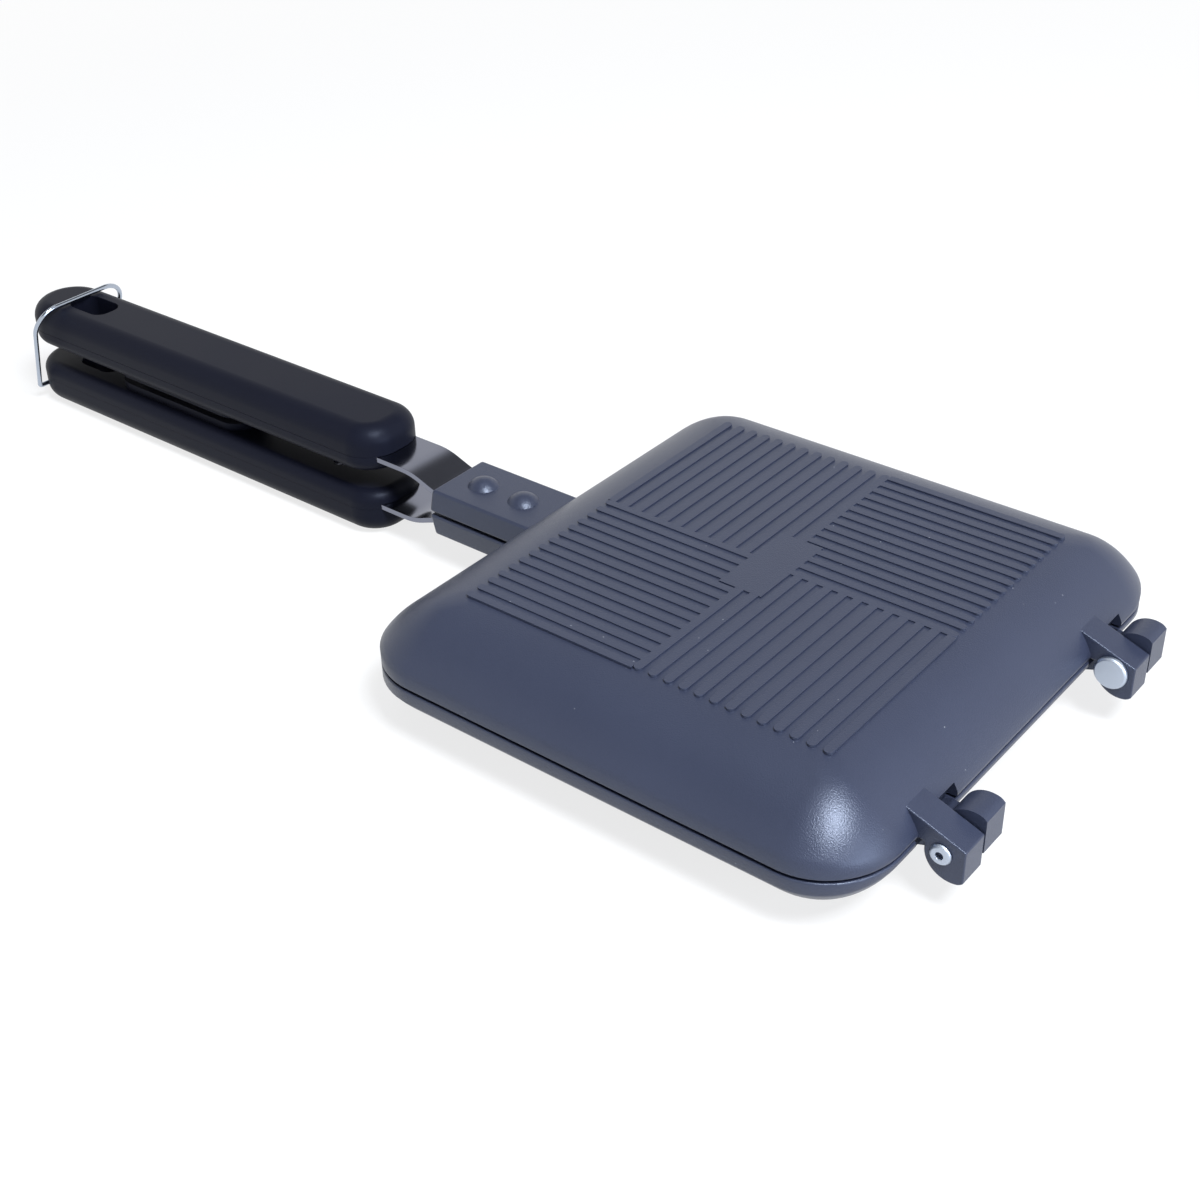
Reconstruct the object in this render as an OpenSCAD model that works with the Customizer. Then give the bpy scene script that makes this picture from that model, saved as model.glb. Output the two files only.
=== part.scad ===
// Pie iron: two hinged ribbed pans on strap handles with a wire bail.
// Frame: +Z up, +X towards the hinges, handles towards -X.
// The origin is the middle of the flat face that the lower pan stands on.
// The lower half is the upper half turned over about X, apart from the height of its hinge pin.

/* [Pan] */
// Distance from the middle of the pan to its rim at the handle
pan_back = 77; // [72:0.5:84]
// Distance from the middle of the pan to its rim at the hinges
pan_front = 75; // [70:0.5:82]
// Width of one pan across the handle, at its rim
pan_wid = 160.5; // [145:0.5:180]
// Height of one pan from the closing plane to the tops of its ribs
pan_h = 18.25; // [16:0.25:22]
// Radius of the pan's corners seen from above
pan_corner_r = 21; // [16:0.5:24]
// Width of the domed shoulder between the flat face and the rim
shoulder_w = 27; // [24:0.5:32]
// Height of the upright band round the rim
rim_band = 3.6; // [2.5:0.1:5]
// Height of the upright band at the hinges, where the shoulder comes lower
hinge_band = 1.4; // [1:0.1:3.5]
// Wall of the casting
pan_wall = 3; // [2.4:0.1:4]
// Open slit between the two rims when the iron is shut
rim_slit = 0.8; // [0.4:0.1:1.2]
// Width of the flat crimping edge inside the rim
crimp_w = 6; // [5:0.5:9]

/* [Ribs] */
// Height of the ribs over the flat face
rib_h = 0.6; // [0.4:0.1:1]
// Distance between the ribs that run along the handle
pitch_along = 4.07; // [3.8:0.01:4.2]
// Width of the ribs that run along the handle
rib_along = 2.3; // [1.8:0.1:2.8]
// Distance between the ribs that run across the handle
pitch_across = 4.46; // [4.2:0.01:4.6]
// Width of the ribs that run across the handle
rib_across = 2.5; // [1.8:0.1:2.8]
// Half length of the ribbed field along the handle
field_x = 54.5; // [50:0.1:57]
// Half width of the ribbed field across the handle
field_y = 57.8; // [52:0.1:60]
// Half length of the bare label place at the middle, across the handle
label_y = 14.5; // [10:0.5:20]
// Half width of the bare label place along the handle
label_x = 6.5; // [4:0.5:8]

/* [Hinge] */
// Distance from the rim to the hinge pin
pin_reach = 6.1; // [5.8:0.1:7]
// How far the hinge pin lies under the closing plane
pin_drop = 1; // [0:0.1:1.1]
// Distance from the middle of the pan to the middle of each hinge
hinge_y = 43.3; // [36:0.1:46]
// Width of one hinge arm
arm_w = 8.6; // [7:0.1:10]
// Slit between the two arms of a hinge
arm_slit = 0.4; // [0.3:0.05:0.6]
// Distance from the pin to the flat end of the arm
arm_end = 6; // [5:0.1:6.2]
// Height of the arm's top edge over the pin, at its flat end
arm_tip_h = 3; // [1.5:0.1:3.5]
// Fall of the arm's top, in degrees
arm_fall = 20; // [15:0.5:21]
// Radius of the arm's round toe
toe_r = 7; // [6:0.1:7.2]
// How far the toe's round is set outwards from the pin
toe_out = 2.6; // [2:0.1:3.5]
// How far the toe's round is set past the pin, towards the other pan
toe_drop = 0.3; // [0:0.1:1]
// Largest reach of the toe from the pin
toe_reach = 8.5; // [7.8:0.1:8.8]
// Room that the opposite rim leaves round the toe
toe_clear = 0.4; // [0.3:0.1:0.8]
// Diameter of the hinge rivet's shank
pin_d = 4; // [3.6:0.1:4.4]
// Gap all round the shank in the arm that turns
pin_clear = 0.06; // [0.03:0.01:0.1]
// Diameter of the hinge rivet's head
pin_head_d = 9; // [8:0.1:9.4]
// Thickness of the hinge rivet's head
pin_head_t = 1.5; // [1:0.1:2]
// Diameter of the rolled tail of the hinge rivet
pin_tail_d = 5.6; // [5:0.1:6.5]
// Gap between a rivet's head or tail and the arm that turns under it
pin_side_gap = 0.1; // [0.05:0.05:0.3]

/* [Handle block] */
// Length of the block from the rim
block_len = 34; // [28:0.5:40]
// Width of the block at its top face
block_wid = 22.2; // [20:0.1:26]
// Height of the block over the closing plane
block_top = 7.5; // [7:0.1:9]
// Slit between a block and the closing plane
block_slit = 0.4; // [0.3:0.05:0.8]
// Diameter of the block rivets' heads
rivet_head_d = 9.3; // [8:0.1:10]
// Height of the block rivets' heads
rivet_head_h = 2.4; // [1.8:0.1:3]
// Diameter of the block rivets' shanks
rivet_d = 5; // [4:0.1:5.4]
// Distance between the two rivets of a block
rivet_gap = 15.3; // [12:0.1:18]

/* [Strap] */
// Width of the steel strap
strap_wid = 17; // [15:0.5:19]
// Thickness of the steel strap
strap_t = 1.6; // [1.4:0.1:2]
// Height of the strap's middle over the closing plane inside the block
strap_low = 4; // [3.8:0.1:4.2]
// Length of strap inside the block
strap_in = 31; // [30:0.5:33]
// Radius of the strap's bends
bend_r = 20; // [17:0.5:22]
// Length of the straight slope between the strap's bends
bend_run = 4.625; // [3:0.125:6]
// Distance from the end of the block back to the start of the strap's bend
bend_in = 3.5; // [1:0.5:5]
// Distance from the strap's end to the hanging slot
strap_gap = 6.75; // [4:0.25:12]

/* [Grip] */
// Distance from the middle of the pan to the front end of the grip
grip_front = 133.6; // [130:0.5:140]
// Length of the grip
grip_len = 169.5; // [150:0.5:190]
// Width of the grip
grip_wid = 25.8; // [23:0.2:30]
// Height of the outer face of the grip over the closing plane
grip_top = 18.1; // [16:0.05:18.15]
// Height of the inner face of the grip over the closing plane
grip_low = 3.3; // [2.5:0.1:4]
// Radius of the grip's front corners
grip_nose_r = 11; // [9:0.5:12]
// Radius of the soft edge round the grip's outer face
grip_edge_r = 6; // [3:0.25:8]
// Radius of the soft edge round the grip's inner face
inner_edge_r = 4; // [2:0.25:4.5]
// Length of the raised pad on the inner cover
pad_len = 63; // [40:1:70]
// Width of the raised pad
pad_wid = 17; // [12:0.5:17.5]
// Distance from the pad to the hanging slot
pad_gap = 7.25; // [4:0.25:12]
// Height of the pad's face over the closing plane
pad_low = 1; // [0.8:0.1:2]
// Length of the hanging slot
slot_len = 17.5; // [14:0.5:20]
// Width of the hanging slot
slot_wid = 10.5; // [8:0.5:12]
// Radius of the hanging slot's corners
slot_r = 4; // [2:0.5:5]
// Distance from the end of the grip to the middle of the hanging slot
slot_in = 26; // [24:0.5:32]
// Diameter of the grip screws
screw_d = 4; // [3:0.1:4.5]
// Diameter of the grip screws' heads
screw_head_d = 7; // [6:0.1:7.5]

/* [Wire bail] */
// Diameter of the bail's wire
wire_d = 1.6; // [1.4:0.1:2]
// Gap between the wire and what it passes
wire_gap = 0.35; // [0.3:0.05:0.6]
// Gap all round the wire in its pivot hole
wire_clear = 0.08; // [0.04:0.01:0.1]
// Distance from the end of the grip to the bail's pivot
bail_in = 5; // [4.5:0.5:7]
// Height of the pivot over the closing plane, measured towards the grip's outer face
bail_h = 13; // [11:0.1:14]
// How far the bail leans over the grip
bail_lean = 13.8; // [10:0.1:16]
// How much wider the bail is at its bow than at its pivot, on each side
bail_splay = 5.4; // [3:0.1:6]
// Radius of the corners of the bail's bow
bow_r = 8; // [5:0.5:10]
// Distance from the middle of the grip to the bottom of each pivot hole
bail_hole = 6.5; // [5:0.5:8]

/* [Hidden] */
$fn = 64;
past = 1;

coat = [0.22, 0.25, 0.32];
moulding = [0.13, 0.14, 0.18];
steel = [0.62, 0.64, 0.7];
zinc = [0.75, 0.78, 0.82];

half_w = pan_wid / 2;
rim_z = rim_slit / 2;
face_z = pan_h - rib_h;
flat_x = pan_back - shoulder_w;
flat_y = half_w - shoulder_w;

pin_x = pan_front + pin_reach;
arm_run = pin_reach + crimp_w - 1;
near_y = -hinge_y - arm_slit / 2 - arm_w;
far_y = hinge_y - arm_slit / 2 - arm_w;

block_end = pan_back + block_len;
block_low = block_slit;
edge = 0.8;
draft = 0.8;
rear_rivet_x = -block_end + 10.4;
front_rivet_x = rear_rivet_x + rivet_gap;
countersink_r = rivet_d / 2 + 1.2;

grip_back = grip_front + grip_len;
grip_r = grip_wid / 2;
slot_x = -grip_back + slot_in;
pad_x = slot_x + (slot_len + pad_len) / 2 + pad_gap;

// a slope whose sine and cosine are short decimals, so that bends and straights meet without a gap
slope_sin = 0.352;
slope_cos = 0.936;
bend_a = asin(slope_sin);
strap_high = strap_low + 2 * bend_r * (1 - slope_cos) + bend_run * slope_sin;
strap_top = strap_high + strap_t / 2;
strap_in_x = block_end - strap_in;
strap_end = -slot_x - slot_len / 2 - strap_gap;
bend_x1 = block_end - bend_in;
bend_x2 = bend_x1 + 2 * bend_r * slope_sin + bend_run * slope_cos;

front_screw_x = -grip_front - 26;
rear_screw_x = -strap_end + 12;
screw_top = grip_top - 4;
screw_low = grip_low + 1.2;

bail_x = -grip_back + bail_in;
bail_r = wire_d / 2;
bail_y = grip_r + wire_gap + bail_r;
bail_top = grip_top + wire_gap + bail_r;
bail_rise = bail_top + bail_h;
bail_leg = norm([bail_lean, bail_rise]);
bail_angle = atan2(bail_rise, bail_lean);
hook_r = 1.2;
splay_angle = atan2(bail_splay, bail_leg);

// a shape drawn as length along X and height, given a width along Y
module wide(w) rotate([90, 0, 0]) linear_extrude(w, center = true) children();

// a shape drawn as width along Y and height, drawn out from x0 to x1
module long(x0, x1) translate([x0, 0, 0]) rotate([90, 0, 90]) linear_extrude(x1 - x0) children();

// the lower half is the upper half turned over about the length of the iron
module upper() translate([0, 0, pan_h]) children();
module lower() translate([0, 0, pan_h]) rotate([180, 0, 0]) children();

// PAN

// radius of a shoulder that leaves the flat face level and comes down to the band
function shoulder_r(w, band) =
    let (fall = face_z - rim_z - band) (w * w + fall * fall) / (2 * fall);

// one side of the domed shape: flat to the shoulder, an arc, then upright at the rim
module dome_side(flat, w, band, inset, wall, low) {
    r = shoulder_r(w, band);
    intersection() {
        translate([0, low]) square([flat + w - inset, face_z - wall - low]);
        union() {
            translate([0, low]) square([flat, face_z - wall - low]);
            translate([flat, face_z - r]) circle(r - wall, $fn = 128);
        }
    }
}

// the same shoulder turned round one corner of the pan
module dome_corner(inset, wall, low) {
    r = shoulder_r(shoulder_w, rim_band);
    rotate_extrude() intersection() {
        translate([0, low]) square([pan_corner_r - inset, face_z - wall - low]);
        translate([pan_corner_r - shoulder_w, face_z - r]) circle(r - wall, $fn = 128);
    }
}

// the pan's outside, or its inside when it is inset from the rim by a wall
module dome(inset, wall, low) {
    corner_x = [pan_corner_r - pan_back, pan_front - pan_corner_r];
    corner_y = half_w - pan_corner_r;
    high = pan_h + past - low;
    intersection() {
        wide(pan_wid) {
            dome_side(flat_x, pan_front - flat_x, hinge_band, inset, wall, low);
            mirror([1, 0]) dome_side(flat_x, shoulder_w, rim_band, inset, wall, low);
        }
        long(-pan_back, pan_front) for (s = [0, 1])
            mirror([s, 0]) dome_side(flat_y, shoulder_w, rim_band, inset, wall, low);
        union() {
            translate([corner_x[0], -half_w, low]) cube([corner_x[1] - corner_x[0], pan_wid, high]);
            translate([-pan_back, -corner_y, low]) cube([pan_back + pan_front, 2 * corner_y, high]);
            for (x = corner_x, y = [-corner_y, corner_y])
                translate([x, y, 0]) dome_corner(inset, wall, low);
        }
    }
}

// plan of one rib from the middle of the pan along X, with a round outer end
module rib(y, reach, w) {
    translate([0, y - w / 2]) square([reach - w / 2, w]);
    translate([reach - w / 2, y]) circle(w / 2);
}

// plan of a quarter of ribs between the X and Y axes, along X
module rib_quarter(pitch, w, reach, width) {
    for (k = [1 : floor(width / pitch)]) rib(k * pitch, reach, w);
}

// plan of everything that stands up from the flat face: a cross, four quarters and a label place
module ribs() {
    rib(0, field_x, rib_along);
    rotate(180) rib(0, field_x, rib_along);
    rotate(90) rib(0, field_y, rib_across);
    rotate(-90) rib(0, field_y, rib_across);
    for (turn = [0, 180]) rotate(turn) {
        rib_quarter(pitch_along, rib_along, field_x, field_y);
        rotate(90) rib_quarter(pitch_across, rib_across, field_y, field_x);
    }
    square([2 * label_x, 2 * label_y], center = true);
}

// side view of a hinge arm; its pin is at the origin, the pan is towards -X, and rim is the
// height of the pan's rim over the pin
module arm_side(rim) {
    rise = (arm_end + arm_run) * tan(arm_fall);
    intersection() {
        union() {
            polygon([[-arm_run, rim], [0, rim], [0, -pin_drop], [arm_end, -pin_drop],
                [arm_end, arm_tip_h], [-arm_run, arm_tip_h + rise]]);
            intersection() {
                translate([toe_out, -toe_drop]) circle(toe_r);
                translate([-arm_run, -toe_reach]) square([arm_run + arm_end, toe_reach + rim]);
            }
        }
        union() {
            circle(toe_reach);
            translate([-arm_run, rim]) square([arm_run, 3 * toe_r]);
        }
    }
}

// the handle's block: sides and end drawn in a little towards the top, top edges eased
module block() {
    wide_low = block_wid / 2 + draft;
    intersection() {
        long(-block_end - draft, -pan_back + shoulder_w / 2) polygon([
            [-wide_low, block_low], [wide_low, block_low],
            [block_wid / 2 + edge / 2, block_top - edge], [block_wid / 2 - edge / 2, block_top],
            [edge / 2 - block_wid / 2, block_top], [-edge / 2 - block_wid / 2, block_top - edge]]);
        wide(block_wid + 4 * draft) polygon([
            [-block_end - draft, block_low], [0, block_low], [0, block_top],
            [-block_end + edge / 2, block_top], [-block_end - edge / 2, block_top - edge]]);
    }
}

module rivet_holes()
    for (x = [front_rivet_x, rear_rivet_x]) translate([x, 0, 0]) rivet_shape(past);

// one pan with its block and hinge arms; bore_r is the radius of the bores in the arms, and
// pin_z is the height of the hinge pin over the closing plane
module casting(bore_r, pin_z) {
    difference() {
        union() {
            dome(0, 0, rim_z);
            translate([0, 0, face_z - pan_wall / 2])
                linear_extrude(pan_wall / 2 + rib_h) ribs();
            block();
            for (y = [near_y, far_y])
                translate([pin_x, y + arm_w / 2, pin_z]) wide(arm_w) arm_side(rim_z - pin_z);
        }
        dome(crimp_w, pan_wall, -past);
        for (y = [near_y, far_y]) translate([pin_x, y + arm_w / 2, pin_z]) rotate([90, 0, 0])
            cylinder(r = bore_r, h = arm_w + 2 * past, center = true);
        // the other pan's toes swing into these hollows in the rim
        for (y = [-near_y, -far_y]) translate([pin_x, y - arm_w / 2, pin_z]) rotate([90, 0, 0])
            cylinder(r = toe_reach + toe_clear, h = arm_w + 2 * arm_slit, center = true);
        wide(strap_wid) strap_side();
        rivet_holes();
    }
}

module lower_pan() color(coat) lower() casting(pin_d / 2, pin_drop);
module upper_pan() color(coat) upper() casting(pin_d / 2 + pin_clear, -pin_drop);

// BLOCK RIVETS

// a domed head over a shank that ends in a countersunk tail; grow lengthens the tail for a hole
module rivet_shape(grow) {
    rotate_extrude() polygon([[0, block_low - grow], [countersink_r, block_low - grow],
        [countersink_r, block_low], [rivet_d / 2, block_low + countersink_r - rivet_d / 2],
        [rivet_d / 2, block_top], [0, block_top]]);
}

module rivet_head() {
    r = rivet_head_d / 2;
    ball = (r * r + rivet_head_h * rivet_head_h) / (2 * rivet_head_h);
    rotate_extrude() intersection() {
        translate([0, rivet_head_h - ball]) circle(ball);
        square([r, rivet_head_h]);
    }
}

module block_rivet(x) color(coat) translate([x, 0, 0]) {
    rivet_shape(0);
    translate([0, 0, block_top]) rivet_head();
}

module lower_front_rivet() lower() block_rivet(front_rivet_x);
module lower_rear_rivet() lower() block_rivet(rear_rivet_x);
module upper_front_rivet() upper() block_rivet(front_rivet_x);
module upper_rear_rivet() upper() block_rivet(rear_rivet_x);

// HINGE RIVETS

// along +Z from the head's face at 0; turning_at_tail tells which arm runs free
module hinge_rivet(turning_at_tail) {
    head_gap = turning_at_tail ? 0 : pin_side_gap;
    tail_gap = turning_at_tail ? pin_side_gap : 0;
    pair_w = 2 * arm_w + arm_slit;
    tail_r = pin_tail_d / 2;
    roll_r = (tail_r - pin_d / 4) / 2;
    color(zinc) difference() {
        union() {
            rotate_extrude() polygon([[0, -head_gap - pin_head_t],
                [pin_head_d / 2 - 0.5, -head_gap - pin_head_t],
                [pin_head_d / 2, -head_gap - pin_head_t + 0.5],
                [pin_head_d / 2, -head_gap], [pin_d / 2, -head_gap],
                [pin_d / 2, pair_w + tail_gap], [0, pair_w + tail_gap]]);
            translate([0, 0, pair_w + tail_gap]) rotate_extrude() intersection() {
                union() {
                    translate([tail_r - roll_r, 0]) circle(roll_r);
                    square([tail_r - roll_r, roll_r]);
                }
                square([tail_r, roll_r]);
            }
        }
        translate([0, 0, pair_w - 3]) cylinder(d = pin_d / 2, h = 6);
    }
}

module near_hinge_rivet()
    translate([pin_x, -far_y, pan_h - pin_drop]) rotate([90, 0, 0]) hinge_rivet(true);
module far_hinge_rivet()
    translate([pin_x, far_y, pan_h - pin_drop]) rotate([-90, 0, 0]) hinge_rivet(false);

// STRAP

// a strip of the strap's thickness bent round the origin, from angle a0 to a1
module bend(a0, a1) intersection() {
    difference() {
        circle(bend_r + strap_t / 2, $fn = 128);
        circle(bend_r - strap_t / 2, $fn = 128);
    }
    polygon([[0, 0], 2 * bend_r * [cos(a0), sin(a0)], 2 * bend_r * [cos(a1), sin(a1)]]);
}

// side view of the strap from the block to inside the grip
module strap_side() mirror([1, 0]) {
    translate([strap_in_x, strap_low - strap_t / 2]) square([bend_x1 - strap_in_x, strap_t]);
    translate([bend_x1, strap_low + bend_r]) {
        bend(-90, bend_a - 90);
        rotate(bend_a) translate([0, -bend_r - strap_t / 2]) square([bend_run, strap_t]);
    }
    translate([bend_x2, strap_high - bend_r]) bend(90, 90 + bend_a);
    translate([bend_x2, strap_high - strap_t / 2]) square([strap_end - bend_x2, strap_t]);
}

module strap() color(steel) difference() {
    wide(strap_wid) strap_side();
    rivet_holes();
    screw_holes();
}

module lower_strap() lower() strap();
module upper_strap() upper() strap();

// GRIP

// section of the grip from its middle to its side, with an eased edge on its outer face
module grip_section(r, low, high) {
    square_r = r - grip_edge_r;
    translate([0, low]) square([square_r, high - low]);
    translate([0, low]) square([r, max(0, high - low - grip_edge_r)]);
    intersection() {
        translate([square_r, high - grip_edge_r]) circle(grip_edge_r);
        translate([0, low]) square([r, high - low]);
    }
}

// the same section with its inner edge eased as well
module eased_section(r) intersection() {
    grip_section(r, grip_low, grip_top);
    union() {
        translate([0, grip_low]) square([r - inner_edge_r, grip_top]);
        translate([0, grip_low + inner_edge_r]) square([r, grip_top]);
        translate([r - inner_edge_r, grip_low + inner_edge_r]) circle(inner_edge_r);
    }
}

// the shell's section lies over the strap, the cover's is cut from the whole grip's
module half_section(r, shell) {
    if (shell) grip_section(r, strap_top, grip_top);
    else eased_section(r);
}

// the grip, round at its end and with round corners in front
module grip_bar(shell) {
    nose_x = -grip_front - grip_nose_r;
    nose_y = grip_r - grip_nose_r;
    tail_x = -grip_back + grip_r;
    translate([tail_x, 0, 0]) rotate_extrude() half_section(grip_r, shell);
    long(tail_x, nose_x) for (s = [0, 1]) mirror([s, 0]) half_section(grip_r, shell);
    for (s = [-1, 1]) translate([nose_x, s * nose_y, 0])
        rotate_extrude() half_section(grip_nose_r, shell);
    translate([nose_x, 0, 0]) wide(2 * nose_y) half_section(grip_nose_r, shell);
}

module slot_outline() {
    l = slot_len / 2 - slot_r;
    w = slot_wid / 2 - slot_r;
    square([slot_len, 2 * w], center = true);
    square([2 * l, slot_wid], center = true);
    for (x = [-l, l], y = [-w, w]) translate([x, y]) circle(slot_r);
}

module hanging_slot()
    translate([slot_x, 0, 0]) linear_extrude(grip_top + past) slot_outline();

module screw_shape() {
    rotate_extrude() polygon([[0, screw_low], [screw_head_d / 2, screw_low],
        [screw_d / 2, screw_low + (screw_head_d - screw_d) / 2], [screw_d / 2, screw_top],
        [0, screw_top]]);
}

module screw_holes() for (x = [front_screw_x, rear_screw_x]) translate([x, 0, 0]) {
    screw_shape();
    translate([0, 0, -past]) cylinder(d = screw_head_d, h = screw_low + past);
}

module pad() {
    l = (pad_len - pad_wid) / 2;
    translate([pad_x, 0, pad_low]) linear_extrude(grip_low - pad_low) {
        square([2 * l, pad_wid], center = true);
        for (x = [-l, l]) translate([x, 0]) circle(pad_wid / 2);
    }
}

// the outer shell lies on the strap
module grip() difference() {
    grip_bar(true);
    hanging_slot();
    screw_holes();
}

// the inner shell holds the strap in a channel
module grip_cover() color(moulding) difference() {
    union() {
        intersection() {
            grip_bar(false);
            translate([-grip_back, -grip_r, 0]) cube([grip_len, grip_wid, strap_top]);
        }
        pad();
    }
    wide(strap_wid) strap_side();
    hanging_slot();
    screw_holes();
}

module lower_grip() color(moulding) difference() {
    lower() grip();
    for (s = [-1, 1]) translate([bail_x, s * bail_hole, pan_h - bail_h]) rotate([-90 * s, 0, 0])
        cylinder(r = bail_r + wire_clear, h = grip_r);
}
module upper_grip() color(moulding) upper() grip();
module lower_grip_cover() lower() grip_cover();
module upper_grip_cover() upper() grip_cover();

// GRIP SCREWS

module grip_screw(x) color(steel) translate([x, 0, 0]) difference() {
    screw_shape();
    translate([0, 0, screw_low + 0.6]) for (a = [0, 90]) rotate(a)
        cube([screw_head_d * 0.6, 0.8, 2 * 0.6 + 0.02], center = true);
}

module lower_front_screw() lower() grip_screw(front_screw_x);
module lower_rear_screw() lower() grip_screw(rear_screw_x);
module upper_front_screw() upper() grip_screw(front_screw_x);
module upper_rear_screw() upper() grip_screw(rear_screw_x);

// WIRE BAIL

module wire(length) cylinder(r = bail_r, h = length);

// a ball a hair thicker than the wire, where a bend meets a straight length at an angle from +X
module wire_joint(x, y, angle) translate([x, y, 0]) rotate([0, 90, angle]) sphere(bail_r + 0.03);

// a bend of the wire round the origin, from +X through an angle
module wire_turn(r, angle) rotate_extrude(angle = angle) translate([r, 0]) circle(bail_r);

// lies flat, with the legs from the pivot towards +X; only the side at +Y is drawn
module bail_half() {
    pin_y = bail_hole + 0.5;
    hook_turn = 90 - splay_angle;
    bow_turn = 90 + splay_angle;
    hook_x = hook_r;
    hook_y = bail_y - hook_r;
    leg_x = hook_x - hook_r * sin(splay_angle);
    leg_y = hook_y + hook_r * cos(splay_angle);
    bow_x = bail_leg - bow_r;
    leg_len = (bow_x - bow_r * sin(splay_angle) - leg_x) / cos(splay_angle);
    bow_y = leg_y + leg_len * sin(splay_angle) - bow_r * cos(splay_angle);
    translate([0, pin_y, 0]) rotate([-90, 0, 0]) wire(hook_y - pin_y);
    wire_joint(0, hook_y, 90);
    translate([hook_x, hook_y, 0]) rotate(90 + splay_angle) wire_turn(hook_r, hook_turn);
    wire_joint(leg_x, leg_y, splay_angle);
    translate([leg_x, leg_y, 0]) rotate([0, 90, splay_angle]) wire(leg_len);
    wire_joint(leg_x + leg_len * cos(splay_angle), leg_y + leg_len * sin(splay_angle), splay_angle);
    translate([bow_x, bow_y, 0]) wire_turn(bow_r, bow_turn);
    translate([bail_leg, 0, 0]) rotate([-90, 0, 0]) wire(bow_y);
}

module wire_bail() color(steel) translate([bail_x, 0, pan_h - bail_h])
    rotate([0, -bail_angle, 0]) for (s = [0, 1]) mirror([0, s, 0]) bail_half();

lower_pan();
upper_pan();
lower_strap();
upper_strap();
lower_front_rivet();
lower_rear_rivet();
upper_front_rivet();
upper_rear_rivet();
near_hinge_rivet();
far_hinge_rivet();
lower_grip();
upper_grip();
lower_grip_cover();
upper_grip_cover();
lower_front_screw();
lower_rear_screw();
upper_front_screw();
upper_rear_screw();
wire_bail();
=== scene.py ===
"""Pie iron: two hinged ribbed pans on strap handles with a wire bail, at rest and in every pose."""

from math import acos, atan2, cos, hypot, pi, radians, sin, sqrt

import bmesh
import bpy
from mathutils import Matrix, Vector


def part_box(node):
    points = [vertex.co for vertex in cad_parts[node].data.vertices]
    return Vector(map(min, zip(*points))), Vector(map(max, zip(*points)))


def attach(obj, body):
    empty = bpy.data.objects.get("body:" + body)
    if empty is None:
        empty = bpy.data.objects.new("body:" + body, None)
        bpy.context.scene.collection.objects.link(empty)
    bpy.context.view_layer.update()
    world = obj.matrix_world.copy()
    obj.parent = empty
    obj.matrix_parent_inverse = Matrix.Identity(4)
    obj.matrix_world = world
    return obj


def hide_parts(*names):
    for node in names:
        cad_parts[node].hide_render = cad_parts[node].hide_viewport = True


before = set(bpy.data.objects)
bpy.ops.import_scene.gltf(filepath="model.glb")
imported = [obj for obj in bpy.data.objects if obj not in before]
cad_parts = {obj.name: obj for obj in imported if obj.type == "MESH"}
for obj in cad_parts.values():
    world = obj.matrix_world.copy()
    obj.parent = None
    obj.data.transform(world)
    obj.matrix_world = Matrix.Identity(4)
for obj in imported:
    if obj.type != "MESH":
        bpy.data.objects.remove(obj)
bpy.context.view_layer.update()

bl_info = {
    "name": "Pie iron",
    "version": (1, 0, 0),
    "blender": (4, 5, 0),
    "location": "3D View > Sidebar > Pie iron",
    "description": "Models and dresses a hinged sandwich iron round its packed solids",
    "category": "Add Mesh",
}

MM = 0.001
MERGE = 1e-6
CLOSING_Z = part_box("upper_pan")[1].z / 2


# SIZES AND COLOURS

class PieIronPan(bpy.types.PropertyGroup):
    """Sizes of one pan, in the frame of the upper one"""
    rim_back: bpy.props.FloatProperty(
        name="Rim at the handle", description="Distance from the middle to the rim at the handle",
        default=0.077, unit="LENGTH")
    rim_front: bpy.props.FloatProperty(
        name="Rim at the hinges", description="Distance from the middle to the rim at the hinges",
        default=0.075, unit="LENGTH")
    half_width: bpy.props.FloatProperty(
        name="Half width", description="Distance from the middle to the rim at each side",
        default=0.08025, unit="LENGTH")
    corner: bpy.props.FloatProperty(
        name="Corner radius", description="Radius of the rim's corners seen from above",
        default=0.021, unit="LENGTH")
    shoulder: bpy.props.FloatProperty(
        name="Shoulder", description="Width of the domed shoulder round the flat face",
        default=0.027, unit="LENGTH")
    face_height: bpy.props.FloatProperty(
        name="Face height", description="Height of the flat face over the closing plane",
        default=0.01787, unit="LENGTH")
    band: bpy.props.FloatProperty(
        name="Rim band", description="Height of the upright band round the rim",
        default=0.0036, unit="LENGTH")
    hinge_band: bpy.props.FloatProperty(
        name="Hinge band", description="Height of the upright band at the hinges",
        default=0.0014, unit="LENGTH")
    rim_slit: bpy.props.FloatProperty(
        name="Half slit", description="Half of the slit between the two rims",
        default=0.0004, unit="LENGTH")
    wall: bpy.props.FloatProperty(
        name="Wall", description="Wall of the casting", default=0.003, unit="LENGTH")
    crimp: bpy.props.FloatProperty(
        name="Crimping edge", description="Width of the flat edge inside the rim",
        default=0.006, unit="LENGTH")


class PieIronColours(bpy.types.PropertyGroup):
    """Colours of the finishes"""
    coat: bpy.props.FloatVectorProperty(
        name="Coat", description="Non-stick coat of the castings", subtype="COLOR",
        size=3, min=0, max=1, default=(0.0205, 0.0248, 0.045))
    grip: bpy.props.FloatVectorProperty(
        name="Grip", description="Moulded grips", subtype="COLOR",
        size=3, min=0, max=1, default=(0.005, 0.0056, 0.011))
    steel: bpy.props.FloatVectorProperty(
        name="Steel", description="Straps and screws", subtype="COLOR",
        size=3, min=0, max=1, default=(0.2, 0.21, 0.26))
    zinc: bpy.props.FloatVectorProperty(
        name="Zinc", description="Hinge rivets, and a shade darker the bail", subtype="COLOR",
        size=3, min=0, max=1, default=(0.52, 0.58, 0.68))
    floor: bpy.props.FloatVectorProperty(
        name="Floor", description="Floor and backdrop", subtype="COLOR",
        size=3, min=0, max=1, default=(0.82, 0.82, 0.82))


# SMALL HELPS

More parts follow.
